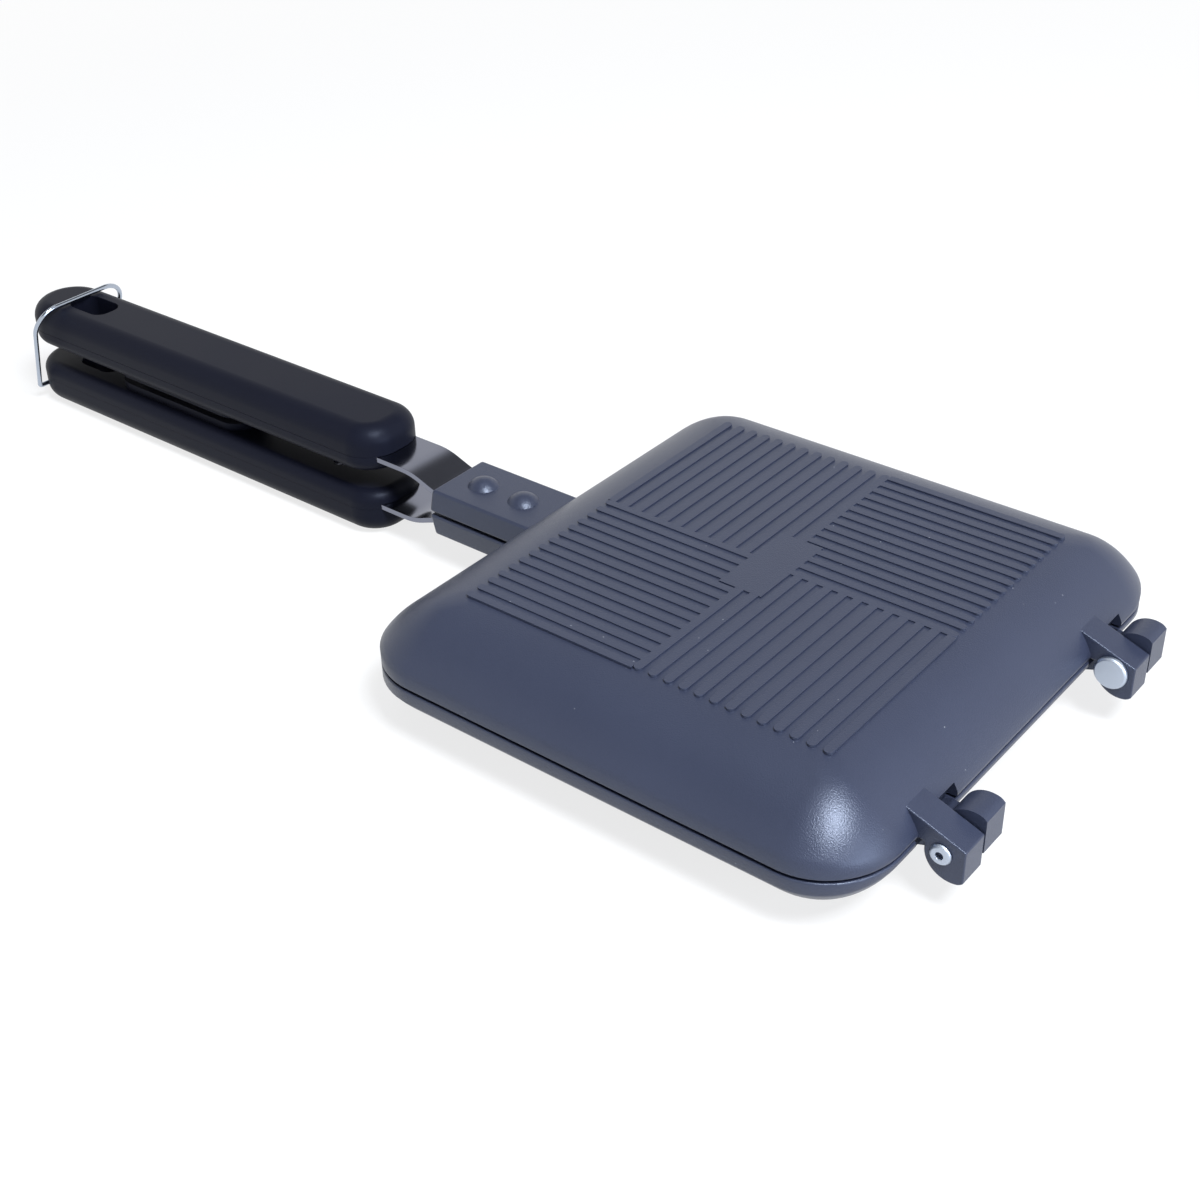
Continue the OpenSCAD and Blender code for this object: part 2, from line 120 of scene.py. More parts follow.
def pan_sizes():
    return bpy.context.scene.pie_iron_pan


def colours():
    return bpy.context.scene.pie_iron_colours


def deselect():
    if bpy.context.object and bpy.context.object.mode != "OBJECT":
        bpy.ops.object.mode_set(mode="OBJECT")
    bpy.ops.object.select_all(action="DESELECT")


def activate(piece):
    deselect()
    piece.select_set(True)
    bpy.context.view_layer.objects.active = piece


def settle(piece):
    """Puts the piece's place into its mesh."""
    activate(piece)
    bpy.ops.object.transform_apply(location=True, rotation=True, scale=True)


def edit(piece):
    activate(piece)
    bpy.ops.object.mode_set(mode="EDIT")
    bpy.ops.mesh.select_all(action="DESELECT")


def pick(piece, kind, test):
    """Selects, in edit mode, the vertices, edges or faces that pass a test."""
    bpy.ops.mesh.select_mode(type=kind)
    mesh = bmesh.from_edit_mesh(piece.data)
    for v in mesh.verts:
        v.select = False
    group = {"VERT": mesh.verts, "EDGE": mesh.edges, "FACE": mesh.faces}[kind]
    for item in group:
        item.select = False
    for item in group:
        if test(item):
            item.select = True
    mesh.select_flush_mode()
    bmesh.update_edit_mesh(piece.data)


def object_mode():
    bpy.ops.object.mode_set(mode="OBJECT")


def modify(piece, kind, **values):
    """Adds a modifier and applies it."""
    activate(piece)
    modifier = piece.modifiers.new(kind.title(), kind)
    for name, value in values.items():
        setattr(modifier, name, value)
    bpy.ops.object.modifier_apply(modifier=modifier.name)


def soften(piece, width, segments=3, angle=30):
    """Rounds the sharp edges of a closed piece."""
    modify(piece, "BEVEL", width=width, segments=segments, limit_method="ANGLE",
           angle_limit=radians(angle), use_clamp_overlap=True, miter_outer="MITER_ARC")


def smooth(piece, angle=35):
    activate(piece)
    bpy.ops.object.shade_smooth_by_angle(angle=radians(angle))
    modify(piece, "WEIGHTED_NORMAL", keep_sharp=True)


def outward(piece):
    edit(piece)
    bpy.ops.mesh.select_all(action="SELECT")
    bpy.ops.mesh.remove_doubles(threshold=MERGE)
    bpy.ops.mesh.normals_make_consistent(inside=False)
    object_mode()


def copy_of(piece, name):
    twin = piece.copy()
    twin.data = piece.data.copy()
    twin.name = twin.data.name = name
    bpy.context.scene.collection.objects.link(twin)
    return twin


def copy_of_node(node, name):
    """A merged copy of a CAD node, for a piece that takes its place."""
    twin = bpy.data.objects.new(name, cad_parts[node].data.copy())
    twin.data.name = name
    bpy.context.scene.collection.objects.link(twin)
    edit(twin)
    bpy.ops.mesh.select_all(action="SELECT")
    bpy.ops.mesh.remove_doubles(threshold=MERGE)
    bpy.ops.mesh.dissolve_limited(angle_limit=radians(0.5))
    object_mode()
    return twin


def join(pieces, name):
    deselect()
    for piece in pieces:
        piece.select_set(True)
    bpy.context.view_layer.objects.active = pieces[0]
    bpy.ops.object.join()
    joined = bpy.context.object
    joined.name = joined.data.name = name
    return joined


def turn_over(piece):
    """Turns a piece of the upper half over about the length of the iron."""
    piece.matrix_world = (Matrix.Translation((0, 0, CLOSING_Z)) @ Matrix.Rotation(pi, 4, "X")
                          @ Matrix.Translation((0, 0, -CLOSING_Z)) @ piece.matrix_world)
    settle(piece)


def dress(piece, material):
    piece.data.materials.clear()
    piece.data.materials.append(material)


def finish_piece(piece, body, slot, material, *nodes):
    dress(piece, material)
    if nodes:
        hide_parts(*nodes)
    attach(piece, body)


# MATERIALS

def new_group(name, inputs, outputs):
    group = bpy.data.node_groups.new(name, "ShaderNodeTree")
    for label, kind, value in inputs:
        socket = group.interface.new_socket(label, in_out="INPUT", socket_type=kind)
        socket.default_value = value
    for label, kind in outputs:
        group.interface.new_socket(label, in_out="OUTPUT", socket_type=kind)
    return group, group.nodes.new("NodeGroupInput"), group.nodes.new("NodeGroupOutput")


def add(tree, kind, **values):
    node = tree.nodes.new(kind)
    for name, value in values.items():
        if name in node.inputs:
            node.inputs[name].default_value = value
        else:
            setattr(node, name, value)
    return node


def orange_peel_group():
    """Low pits of a sprayed coat over a cast skin, and a mask of small pale dust."""
    if "Orange peel" in bpy.data.node_groups:
        return bpy.data.node_groups["Orange peel"]
    group, start, end = new_group(
        "Orange peel",
        [("Grain", "NodeSocketFloat", 1400.0), ("Dust", "NodeSocketFloat", 0.5)],
        [("Height", "NodeSocketFloat"), ("Dust", "NodeSocketFloat"), ("Tone", "NodeSocketFloat")])
    link = group.links.new
    place = add(group, "ShaderNodeTexCoord")
    fine = add(group, "ShaderNodeTexNoise", Detail=2.0, Roughness=0.5)
    link(place.outputs["Object"], fine.inputs["Vector"])
    link(start.outputs["Grain"], fine.inputs["Scale"])
    coarse = add(group, "ShaderNodeTexNoise", Scale=260.0, Detail=1.0)
    link(place.outputs["Object"], coarse.inputs["Vector"])
    both = add(group, "ShaderNodeMath", operation="MULTIPLY_ADD")
    both.inputs[1].default_value = 0.12
    link(coarse.outputs["Fac"], both.inputs[0])
    link(fine.outputs["Fac"], both.inputs[2])
    link(both.outputs[0], end.inputs["Height"])
    specks = add(group, "ShaderNodeTexVoronoi", Scale=420.0)
    link(place.outputs["Object"], specks.inputs["Vector"])
    ring = add(group, "ShaderNodeMapRange")
    ring.inputs["From Min"].default_value = 0.03
    ring.inputs["From Max"].default_value = 0.08
    ring.inputs["To Min"].default_value = 1.0
    ring.inputs["To Max"].default_value = 0.0
    link(specks.outputs["Distance"], ring.inputs["Value"])
    few = add(group, "ShaderNodeMath", operation="GREATER_THAN")
    few.inputs[1].default_value = 0.93
    split = add(group, "ShaderNodeSeparateColor")
    link(specks.outputs["Color"], split.inputs["Color"])
    link(split.outputs["Red"], few.inputs[0])
    some = add(group, "ShaderNodeMath", operation="MULTIPLY")
    link(ring.outputs["Result"], some.inputs[0])
    link(few.outputs[0], some.inputs[1])
    amount = add(group, "ShaderNodeMath", operation="MULTIPLY")
    link(some.outputs[0], amount.inputs[0])
    link(start.outputs["Dust"], amount.inputs[1])
    link(amount.outputs[0], end.inputs["Dust"])
    tone = add(group, "ShaderNodeTexNoise", Scale=35.0, Detail=3.0)
    link(place.outputs["Object"], tone.inputs["Vector"])
    link(tone.outputs["Fac"], end.inputs["Tone"])
    return group


def brushing_group():
    """Fine lines drawn out along X, as on rolled strip."""
    if "Brushing" in bpy.data.node_groups:
        return bpy.data.node_groups["Brushing"]
    group, start, end = new_group(
        "Brushing", [("Along", "NodeSocketVector", (30.0, 3000.0, 3000.0))],
        [("Lines", "NodeSocketFloat"), ("Smudge", "NodeSocketFloat")])
    link = group.links.new
    place = add(group, "ShaderNodeTexCoord")
    stretch = add(group, "ShaderNodeVectorMath", operation="MULTIPLY")
    link(place.outputs["Object"], stretch.inputs[0])
    link(start.outputs["Along"], stretch.inputs[1])
    lines = add(group, "ShaderNodeTexNoise", Scale=1.0, Detail=3.0, Roughness=0.6)
    link(stretch.outputs[0], lines.inputs["Vector"])
    link(lines.outputs["Fac"], end.inputs["Lines"])
    smudge = add(group, "ShaderNodeTexNoise", Scale=60.0, Detail=2.0)
    link(place.outputs["Object"], smudge.inputs["Vector"])
    link(smudge.outputs["Fac"], end.inputs["Smudge"])
    return group


def new_material(name):
    material = bpy.data.materials.get(name)
    if material:
        return material, None, None
    material = bpy.data.materials.new(name)
    material.use_nodes = True
    tree = material.node_tree
    return material, tree, tree.nodes["Principled BSDF"]


def grouped(tree, group, **values):
    node = tree.nodes.new("ShaderNodeGroup")
    node.node_tree = group
    for name, value in values.items():
        node.inputs[name].default_value = value
    return node


def spread(tree, value, low, high):
    """Maps a 0 to 1 value to a range."""
    node = add(tree, "ShaderNodeMapRange")
    node.inputs["To Min"].default_value = low
    node.inputs["To Max"].default_value = high
    tree.links.new(value, node.inputs["Value"])
    return node.outputs["Result"]


def blend_colours(tree, mask, dark, pale):
    node = add(tree, "ShaderNodeMix", data_type="RGBA")
    node.inputs[6].default_value = (*dark, 1)
    node.inputs[7].default_value = (*pale, 1)
    tree.links.new(mask, node.inputs[0])
    return node.outputs[2]


def bump(tree, shader, height, strength, distance):
    node = add(tree, "ShaderNodeBump", Strength=strength, Distance=distance)
    tree.links.new(height, node.inputs["Height"])
    tree.links.new(node.outputs["Normal"], shader.inputs["Normal"])


def coat_material(name="Non-stick coat", rough=(0.32, 0.4), dust=0.7):
    material, tree, shader = new_material(name)
    if tree:
        colour = Vector(colours().coat)
        peel = grouped(tree, orange_peel_group(), Grain=2800.0, Dust=dust)
        tone = blend_colours(tree, peel.outputs["Tone"], colour * 0.92, colour * 1.08)
        pale = add(tree, "ShaderNodeMix", data_type="RGBA")
        pale.inputs[7].default_value = (0.45, 0.47, 0.52, 1)
        tree.links.new(tone, pale.inputs[6])
        tree.links.new(peel.outputs["Dust"], pale.inputs[0])
        tree.links.new(pale.outputs[2], shader.inputs["Base Color"])
        tree.links.new(spread(tree, peel.outputs["Tone"], *rough), shader.inputs["Roughness"])
        shader.inputs["Specular IOR Level"].default_value = 0.54
        shader.inputs["Specular Tint"].default_value = (0.74, 0.82, 1, 1)
        bump(tree, shader, peel.outputs["Height"], 0.55, 0.00015)
    return material


def grip_material(name="Moulded grip"):
    material, tree, shader = new_material(name)
    if tree:
        colour = Vector(colours().grip)
        peel = grouped(tree, orange_peel_group(), Grain=2600.0, Dust=0.15)
        tone = blend_colours(tree, peel.outputs["Tone"], colour * 0.9, colour * 1.1)
        tree.links.new(tone, shader.inputs["Base Color"])
        tree.links.new(spread(tree, peel.outputs["Tone"], 0.4, 0.48), shader.inputs["Roughness"])
        shader.inputs["Specular IOR Level"].default_value = 0.1
        shader.inputs["Specular Tint"].default_value = (0.7, 0.78, 1, 1)
        bump(tree, shader, peel.outputs["Height"], 0.15, 0.00006)
    return material


def metal_material(name, colour, rough, along, strength=0.12, dull=0.92):
    material, tree, shader = new_material(name)
    if tree:
        colour = Vector(colour)
        lines = grouped(tree, brushing_group(), Along=along)
        tree.links.new(blend_colours(tree, lines.outputs["Smudge"], colour * dull, colour * 1.08),
                       shader.inputs["Base Color"])
        shader.inputs["Metallic"].default_value = 1.0
        tree.links.new(spread(tree, lines.outputs["Lines"], *rough), shader.inputs["Roughness"])
        bump(tree, shader, lines.outputs["Lines"], strength, 0.00003)
    return material


def strap_material():
    return metal_material("Rolled strip", colours().steel, (0.09, 0.18),
                          (30.0, 3500.0, 3500.0), 0.08)


def screw_material():
    return metal_material("Plated screw", colours().steel, (0.3, 0.4), (900.0, 900.0, 900.0))


def zinc_material():
    return metal_material("Zinc plate", colours().zinc, (0.34, 0.46),
                          (1200.0, 1200.0, 1200.0), 0.25, 0.7)


def wire_material():
    return metal_material("Drawn wire", Vector(colours().zinc) * 0.8, (0.12, 0.2),
                          (60.0, 2500.0, 2500.0), 0.05)


def seen_rays(tree):
    """1 for a ray from the camera, or one that gloss or glass sends on, and 0 for any other."""
    path = add(tree, "ShaderNodeLightPath")
    total = path.outputs["Is Camera Ray"]
    for name in ("Is Glossy Ray", "Is Transmission Ray"):
        both = add(tree, "ShaderNodeMath", operation="MAXIMUM")
        tree.links.new(total, both.inputs[0])
        tree.links.new(path.outputs[name], both.inputs[1])
        total = both.outputs[0]
    return total


def floor_material(white_share=0.78):
    """Pale floor that keeps the object's shadow and turns to plain white further out."""
    material, tree, shader = new_material("Floor")
    if tree:
        shader.inputs["Base Color"].default_value = (*colours().floor, 1)
        shader.inputs["Roughness"].default_value = 0.8
        shader.inputs["Specular IOR Level"].default_value = 0.1
        place = add(tree, "ShaderNodeTexCoord")
        reach = add(tree, "ShaderNodeVectorMath", operation="LENGTH")
        tree.links.new(place.outputs["Object"], reach.inputs[0])
        outer = add(tree, "ShaderNodeMapRange")
        for name, value in (("From Min", 0.45), ("From Max", 1.0), ("To Min", white_share)):
            outer.inputs[name].default_value = value
        tree.links.new(reach.outputs["Value"], outer.inputs["Value"])
        share = add(tree, "ShaderNodeMath", operation="MULTIPLY")
        tree.links.new(outer.outputs["Result"], share.inputs[1])
        tree.links.new(seen_rays(tree), share.inputs[0])
        white = add(tree, "ShaderNodeEmission", Strength=1.0)
        mixed = add(tree, "ShaderNodeMixShader")
        tree.links.new(share.outputs[0], mixed.inputs["Fac"])
        tree.links.new(shader.outputs[0], mixed.inputs[1])
        tree.links.new(white.outputs[0], mixed.inputs[2])
        tree.links.new(mixed.outputs[0], tree.nodes["Material Output"].inputs["Surface"])
    return material


# PANS

def shoulder_radius(run, fall):
    return (run * run + fall * fall) / (2 * fall)


def shoulder_fall(run, radius):
    return radius - sqrt(max(radius * radius - run * run, 0))


def pan_outline(name, z):
    """A face with the rim's round corners, at a height over the closing plane."""
    size = pan_sizes()
    bpy.ops.mesh.primitive_plane_add(size=2, location=(0, 0, 0))
    piece = bpy.context.object
    piece.name = piece.data.name = name
    piece.scale = (size.rim_back, size.half_width, 1)
    piece.location.z = CLOSING_Z + z
    settle(piece)
    edit(piece)
    bpy.ops.mesh.select_all(action="SELECT")
    bpy.ops.mesh.bevel(offset=size.corner, segments=16, affect="VERTICES")
    object_mode()
    return piece


def rise(height):
    """Extrudes the face that is selected straight up."""
    bpy.ops.mesh.extrude_region_move(TRANSFORM_OT_translate={"value": (0, 0, height)})


CORNER_LEFT = 4 * MM
FLAT_EDGE = 0.8 * MM
OUTER_RINGS = 16
INNER_RINGS = 12


def dome_rings(reach, radius, corner, steps, facing=1):
    """Draws the selected face in and up along the shoulder's arc, in rings.

    Rings keep an even distance while their corners stay rounder than CORNER_LEFT, and shrink after.
    """
    size = pan_sizes()
    offset_until = corner - CORNER_LEFT
    done, top = 0.0, shoulder_fall(reach, radius)
    half = [size.rim_back - size.shoulder, size.half_width - size.shoulder]
    a_end = acos(1 - top / radius)
    for k in range(1, steps + 1):
        run = radius * sin(a_end * (1 - k / steps))
        inward = reach - run
        z = shoulder_fall(run, radius)
        if inward <= offset_until:
            bpy.ops.mesh.inset(thickness=inward - done, depth=facing * (top - z))
        else:
            bpy.ops.mesh.extrude_region_move(
                TRANSFORM_OT_translate={"value": (0, 0, top - z)})
            bpy.ops.transform.resize(value=(
                (half[0] + run) / (half[0] + reach - done),
                (half[1] + run) / (half[1] + reach - done), 1), center_override=(0, 0, 0))
        done, top = inward, z


RIM_EASE = 0.5 * MM


def pan_shell(name):
    """The pan's outside with its shoulder, its flat crimping edge and its hollow."""
    size = pan_sizes()
    piece = pan_outline(name, size.rim_slit)
    edit(piece)
    bpy.ops.mesh.select_all(action="SELECT")
    fall = size.face_height - size.rim_slit - size.band
    radius = shoulder_radius(size.shoulder, fall)
    rise(size.band)
    dome_rings(size.shoulder, radius, size.corner, OUTER_RINGS)
    bpy.ops.mesh.inset(thickness=FLAT_EDGE, depth=0)
    rim_z = CLOSING_Z + size.rim_slit
    pick(piece, "EDGE", lambda e: all(abs(v.co.z - rim_z) < MERGE for v in e.verts))
    bpy.ops.mesh.bevel(offset=RIM_EASE, segments=3)
    pick(piece, "FACE", lambda f: f.normal.z < -0.9
         and abs(f.calc_center_median().z - rim_z) < MERGE)
    bpy.ops.mesh.inset(thickness=size.crimp - RIM_EASE, depth=0)
    inner_radius = radius - size.wall
    reach = size.shoulder - size.crimp
    top = size.face_height - size.wall
    rise(top - shoulder_fall(reach, inner_radius) - size.rim_slit)
    dome_rings(reach, inner_radius, size.corner - size.crimp, INNER_RINGS, -1)
    object_mode()
    shape_hinge_side(piece)
    outward(piece)
    return piece


def shape_hinge_side(piece):
    """Draws the hinge side in and lets its shoulder come lower, as at the hinges."""
    size = pan_sizes()
    flat = size.rim_back - size.shoulder
    narrow = (size.rim_front - flat) / size.shoulder
    back = shoulder_radius(size.shoulder, size.face_height - size.rim_slit - size.band)
    front = shoulder_radius(size.rim_front - flat,
                            size.face_height - size.rim_slit - size.hinge_band)
    for vertex in piece.data.vertices:
        run = vertex.co.x - flat
        if run <= 0:
            continue
        vertex.co.x = flat + run * narrow
        drop = shoulder_fall(run * narrow, front) - shoulder_fall(run, back)
        over = vertex.co.z - CLOSING_Z - size.rim_slit
        if over > 1e-5:
            room = max(over - size.hinge_band * 0.5, 0.0)
            vertex.co.z -= min(drop, room)


# RIBS, BLOCK AND ARMS OF A PAN

RIB_HEIGHT = 0.38 * MM
RIB_SUNK = 0.6 * MM
FIELD = Vector((54.5, 57.8)) * MM
ALONG = {"pitch": 4.07 * MM, "width": 2.3 * MM}
ACROSS = {"pitch": 4.46 * MM, "width": 2.5 * MM}
LABEL = Vector((6.5, 14.5)) * MM
RIB_EASE = 0.05 * MM
TUCK = 0.05 * MM


def rib_bar(name, start, end, width):
    """One rib from start to a round end along X, with eased top edges."""
    size = pan_sizes()
    z = CLOSING_Z + size.face_height
    middle, length = (start + end - width / 2) / 2, end - width / 2 - start
    bpy.ops.mesh.primitive_cube_add(
        size=1, location=(middle, 0, z + (RIB_HEIGHT - RIB_SUNK) / 2))
    bar = bpy.context.object
    bar.scale = (length, width, RIB_HEIGHT + RIB_SUNK)
    settle(bar)
    tip = end - width / 2
    edit(bar)
    pick(bar, "FACE", lambda f: f.normal.x > 0.9)
    bpy.ops.mesh.extrude_region_move(TRANSFORM_OT_translate={"value": (width / 2, 0, 0)})
    pick(bar, "EDGE", lambda e: all(v.co.x > tip + width * 0.4 for v in e.verts)
         and abs(e.verts[0].co.z - e.verts[1].co.z) > RIB_HEIGHT)
    bpy.ops.mesh.bevel(offset=width * 0.49, segments=4)
    pick(bar, "EDGE", lambda e: all(v.co.z > z + RIB_HEIGHT * 0.9 for v in e.verts)
         and len([f for f in e.link_faces if f.normal.z > 0.9]) == 1)
    bpy.ops.mesh.bevel(offset=RIB_EASE, segments=2)
    object_mode()
    bar.name = bar.data.name = name
    return bar


def moved_copy(piece, turn, offset):
    twin = copy_of(piece, piece.name)
    twin.data.transform(Matrix.Rotation(turn, 4, "Z") @ Matrix.Translation(offset))
    return twin


def ribs(name):
    """The ribs that stand up from the flat face: a cross, four quarters and a bare label place."""
    made = []
    for spec, reach, width, label_end, label_side, cross, turns in (
            (ALONG, FIELD.x, FIELD.y, LABEL.x, LABEL.y, ACROSS["width"] / 2, (0, pi)),
            (ACROSS, FIELD.y, FIELD.x, LABEL.y, LABEL.x, ALONG["width"] / 2, (pi / 2, -pi / 2))):
        beside_label = rib_bar("rib at the label", label_end - TUCK, reach, spec["width"])
        beside_cross = rib_bar("rib at the cross", cross - TUCK, reach, spec["width"])
        for turn in turns:
            for k in range(int(width / spec["pitch"]) + 1):
                y = k * spec["pitch"]
                bar = beside_label if y - spec["width"] / 2 < label_side else beside_cross
                made.append(moved_copy(bar, turn, (0, y, 0)))
        bpy.data.objects.remove(beside_label)
        bpy.data.objects.remove(beside_cross)
    size = pan_sizes()
    bpy.ops.mesh.primitive_cube_add(size=1, location=(0, 0, CLOSING_Z + size.face_height))
    label = bpy.context.object
    label.scale = (2 * LABEL.x, 2 * LABEL.y, 2 * RIB_HEIGHT)
    settle(label)
    soften(label, RIB_EASE, 2)
    return join([label] + made, name)


BLOCK_BACK = 111 * MM
BLOCK_HALF = 11.1 * MM
BLOCK_TOP = 7.5 * MM
BLOCK_LOW = 0.45 * MM
BLOCK_IN = 1.2 * MM
BLOCK_EASE = 0.9 * MM
DRAFT = 0.8 * MM


def handle_block(name):
    """The block that the strap is riveted in, with drawn-in sides and eased edges.

    Its inner end stops within the pan's wall, short of the hollow.
    """
    inner = pan_sizes().rim_back - pan_sizes().crimp + BLOCK_IN
    bpy.ops.mesh.primitive_cube_add(size=1, location=(
        -(BLOCK_BACK + DRAFT + inner) / 2, 0, CLOSING_Z + (BLOCK_TOP + BLOCK_LOW) / 2))
    piece = bpy.context.object
    piece.scale = (BLOCK_BACK + DRAFT - inner, 2 * (BLOCK_HALF + DRAFT), BLOCK_TOP - BLOCK_LOW)
    settle(piece)
    edit(piece)
    pick(piece, "VERT", lambda v: v.co.z > CLOSING_Z + BLOCK_TOP * 0.9)
    bpy.ops.transform.resize(value=(1, BLOCK_HALF / (BLOCK_HALF + DRAFT), 1))
    pick(piece, "VERT", lambda v: v.co.z > CLOSING_Z + BLOCK_TOP * 0.9
         and v.co.x < -inner - 0.01)
    bpy.ops.transform.translate(value=(DRAFT, 0, 0))
    object_mode()
    soften(piece, BLOCK_EASE, 3)
    piece.name = piece.data.name = name
    return piece


PIN_X = 81.1 * MM
PIN_DROP = 1 * MM
ARM_SPANS = ((-52.1 * MM, -43.5 * MM), (34.5 * MM, 43.1 * MM))
ARM_RUN = 11.1 * MM
ARM_END = 6 * MM
ARM_TIP = 3 * MM
ARM_CORNER = 5 * MM
ARM_FALL = radians(20)
TOE_RADIUS = 7 * MM
TOE_CENTRE = Vector((2.6, -0.3)) * MM
TOE_REACH = 8.5 * MM
HOLLOW_RADIUS = 8.9 * MM
HOLLOW_SIDE = 0.4 * MM
ARM_EASE = 0.4 * MM


def toe_point(angle):
    """A point of the toe's outline, in a direction from the pin."""
    way = Vector((cos(angle), sin(angle)))
    along = way.dot(TOE_CENTRE)
    far = along + sqrt(along ** 2 - TOE_CENTRE.length_squared + TOE_RADIUS ** 2)
    return way * min(TOE_REACH, far)


def arm_outline(rim):
    """Side view of a hinge arm about its pin; rim is the height of the pan's rim over the pin."""
    top = ARM_TIP + (ARM_END + ARM_RUN) * sin(ARM_FALL) / cos(ARM_FALL)
    low = -sqrt(TOE_REACH ** 2 - ARM_END ** 2)
    first = atan2(low, ARM_END)
    last = -pi + atan2(-min(rim, 0), ARM_CORNER)
    steps = 24
    toe = [toe_point(first + (last - first) * k / steps) for k in range(steps + 1)]
    left = Vector((toe[-1].x, rim))
    return [Vector((-ARM_RUN, top)), Vector((ARM_END, ARM_TIP))] + toe + [
        left, Vector((-ARM_RUN, rim))]


def hinge_arm(name, span, pin_z):
    """A hinge arm: its side outline drawn out to its width, with eased edges."""
    outline = arm_outline(pan_sizes().rim_slit - pin_z)
    bpy.ops.mesh.primitive_circle_add(vertices=len(outline), radius=1, fill_type="NGON")
    piece = bpy.context.object
    piece.name = piece.data.name = name
    for vertex, where in zip(piece.data.vertices, outline):
        vertex.co = (PIN_X + where.x, span[0], CLOSING_Z + pin_z + where.y)
    edit(piece)
    bpy.ops.mesh.select_all(action="SELECT")
    bpy.ops.mesh.extrude_region_move(TRANSFORM_OT_translate={"value": (0, span[1] - span[0], 0)})
    object_mode()
    outward(piece)
    soften(piece, ARM_EASE, 3, 40)
    return piece


def hollow_rim(shell, pin_z):
    """Cuts the hollows that the toes of the other pan's arms swing in."""
    for low, high in ARM_SPANS:
        width = high - low + 2 * HOLLOW_SIDE
        bpy.ops.mesh.primitive_cylinder_add(
            vertices=96, radius=HOLLOW_RADIUS, depth=width, rotation=(pi / 2, 0, 0),
            location=(PIN_X, -(low + high) / 2, CLOSING_Z + pin_z))
        cutter = bpy.context.object
        settle(cutter)
        modify(shell, "BOOLEAN", operation="DIFFERENCE", solver="EXACT", object=cutter)
        bpy.data.objects.remove(cutter)


def pan_casting(name, pin_z):
    """One whole pan in the place of the upper one; pin_z is its pin's height over its rim."""
    shell = pan_shell(name)
    hollow_rim(shell, pin_z)
    parts = [shell, ribs(name + "_ribs"), handle_block(name + "_block")]
    parts += [hinge_arm(name + "_arm", span, pin_z) for span in ARM_SPANS]
    casting = join(parts, name)
    smooth(casting, 40)
    return casting


# OPERATORS

class PIEIRON_OT_pans(bpy.types.Operator):
    """Models both ribbed pans, the lower one as the upper one turned over"""
    bl_idname = "pieiron.pans"
    bl_label = "Pans"

    def execute(self, context):
        upper = pan_casting("upper_pan_casting", -PIN_DROP)
        lower = pan_casting("lower_pan_casting", PIN_DROP)
        turn_over(lower)
        finish_piece(upper, "upper", "pan_coat", coat_material(), "upper_pan")
        finish_piece(lower, "lower", "pan_coat", coat_material(), "lower_pan")
        return {"FINISHED"}


GRIP_EASE = 0.25 * MM
COVER_EASE = 0.15 * MM
STRAP_EASE = 0.25 * MM
SCREW_EASE = 0.1 * MM
HINGE_RIVET_EASE = 0.15 * MM


def carried_over(node, body, slot, material, ease=0.0, segments=2):
    """A merged copy of a CAD node with eased edges, in the node's place."""
    piece = copy_of_node(node, node + "_piece")
    if ease:
        soften(piece, ease, segments, 35)
    smooth(piece, 40)
    finish_piece(piece, body, slot, material, node)
    return piece


class PIEIRON_OT_grips(bpy.types.Operator):
    """Eases and dresses the moulded grips and their inner covers"""
    bl_idname = "pieiron.grips"
    bl_label = "Grips"

    def execute(self, context):
        for half in ("lower", "upper"):
            carried_over(half + "_grip", half, "grip_moulding", grip_material(), GRIP_EASE)
            carried_over(half + "_grip_cover", half, "grip_moulding", grip_material(), COVER_EASE)
        return {"FINISHED"}


class PIEIRON_OT_straps(bpy.types.Operator):
    """Eases and dresses the rolled straps"""
    bl_idname = "pieiron.straps"
    bl_label = "Straps"

    def execute(self, context):
        for half in ("lower", "upper"):
            carried_over(half + "_strap", half, "strap_steel", strap_material(), STRAP_EASE)
        return {"FINISHED"}


class PIEIRON_OT_fasteners(bpy.types.Operator):
    """Dresses the rivets of the blocks and hinges, and the screws of the grips"""
    bl_idname = "pieiron.fasteners"
    bl_label = "Rivets and screws"

    def execute(self, context):
        for half in ("lower", "upper"):
            for place in ("front", "rear"):
                carried_over(f"{half}_{place}_rivet", half, "pan_coat", coat_material())
                carried_over(f"{half}_{place}_screw", half, "screw_steel", screw_material(),
                             SCREW_EASE)
        for side in ("near", "far"):
            carried_over(side + "_hinge_rivet", "lower", "hinge_zinc", zinc_material(),
                         HINGE_RIVET_EASE)
        return {"FINISHED"}


WIRE_RADIUS = 0.8 * MM
HOOK_RADIUS = 1.2 * MM
BOW_RADIUS = 8 * MM
BAIL_SPLAY = 5.4 * MM
BAIL_PIVOT = Vector((-298.1, 0, 5.25)) * MM
BAIL_LEAN = 13.8 * MM
BAIL_RISE = 32.25 * MM
BAIL_HALF = 14.05 * MM
BAIL_PIN_END = 7 * MM


def arc_points(centre, radius, start, end, steps):
    return [Vector((centre[0] + radius * cos(start + (end - start) * k / steps),
                    centre[1] + radius * sin(start + (end - start) * k / steps), 0))
            for k in range(steps + 1)]


def bail_path():
    """Middle line of the wire, laid flat, from one pivot end to the other."""
    leg = hypot(BAIL_LEAN, BAIL_RISE)
    splay = atan2(BAIL_SPLAY, leg)
    hook = Vector((HOOK_RADIUS, BAIL_HALF - HOOK_RADIUS))
    side = [Vector((0, BAIL_PIN_END, 0))]
    side += arc_points(hook, HOOK_RADIUS, pi, pi / 2 + splay, 6)
    leg_start = side[-1]
    bow_x = leg - BOW_RADIUS
    length = (bow_x - BOW_RADIUS * sin(splay) - leg_start.x) / cos(splay)
    bow_y = leg_start.y + length * sin(splay) - BOW_RADIUS * cos(splay)
    side += arc_points((bow_x, bow_y), BOW_RADIUS, pi / 2 + splay, 0, 16)
    return side + [Vector((v.x, -v.y, 0)) for v in reversed(side)]


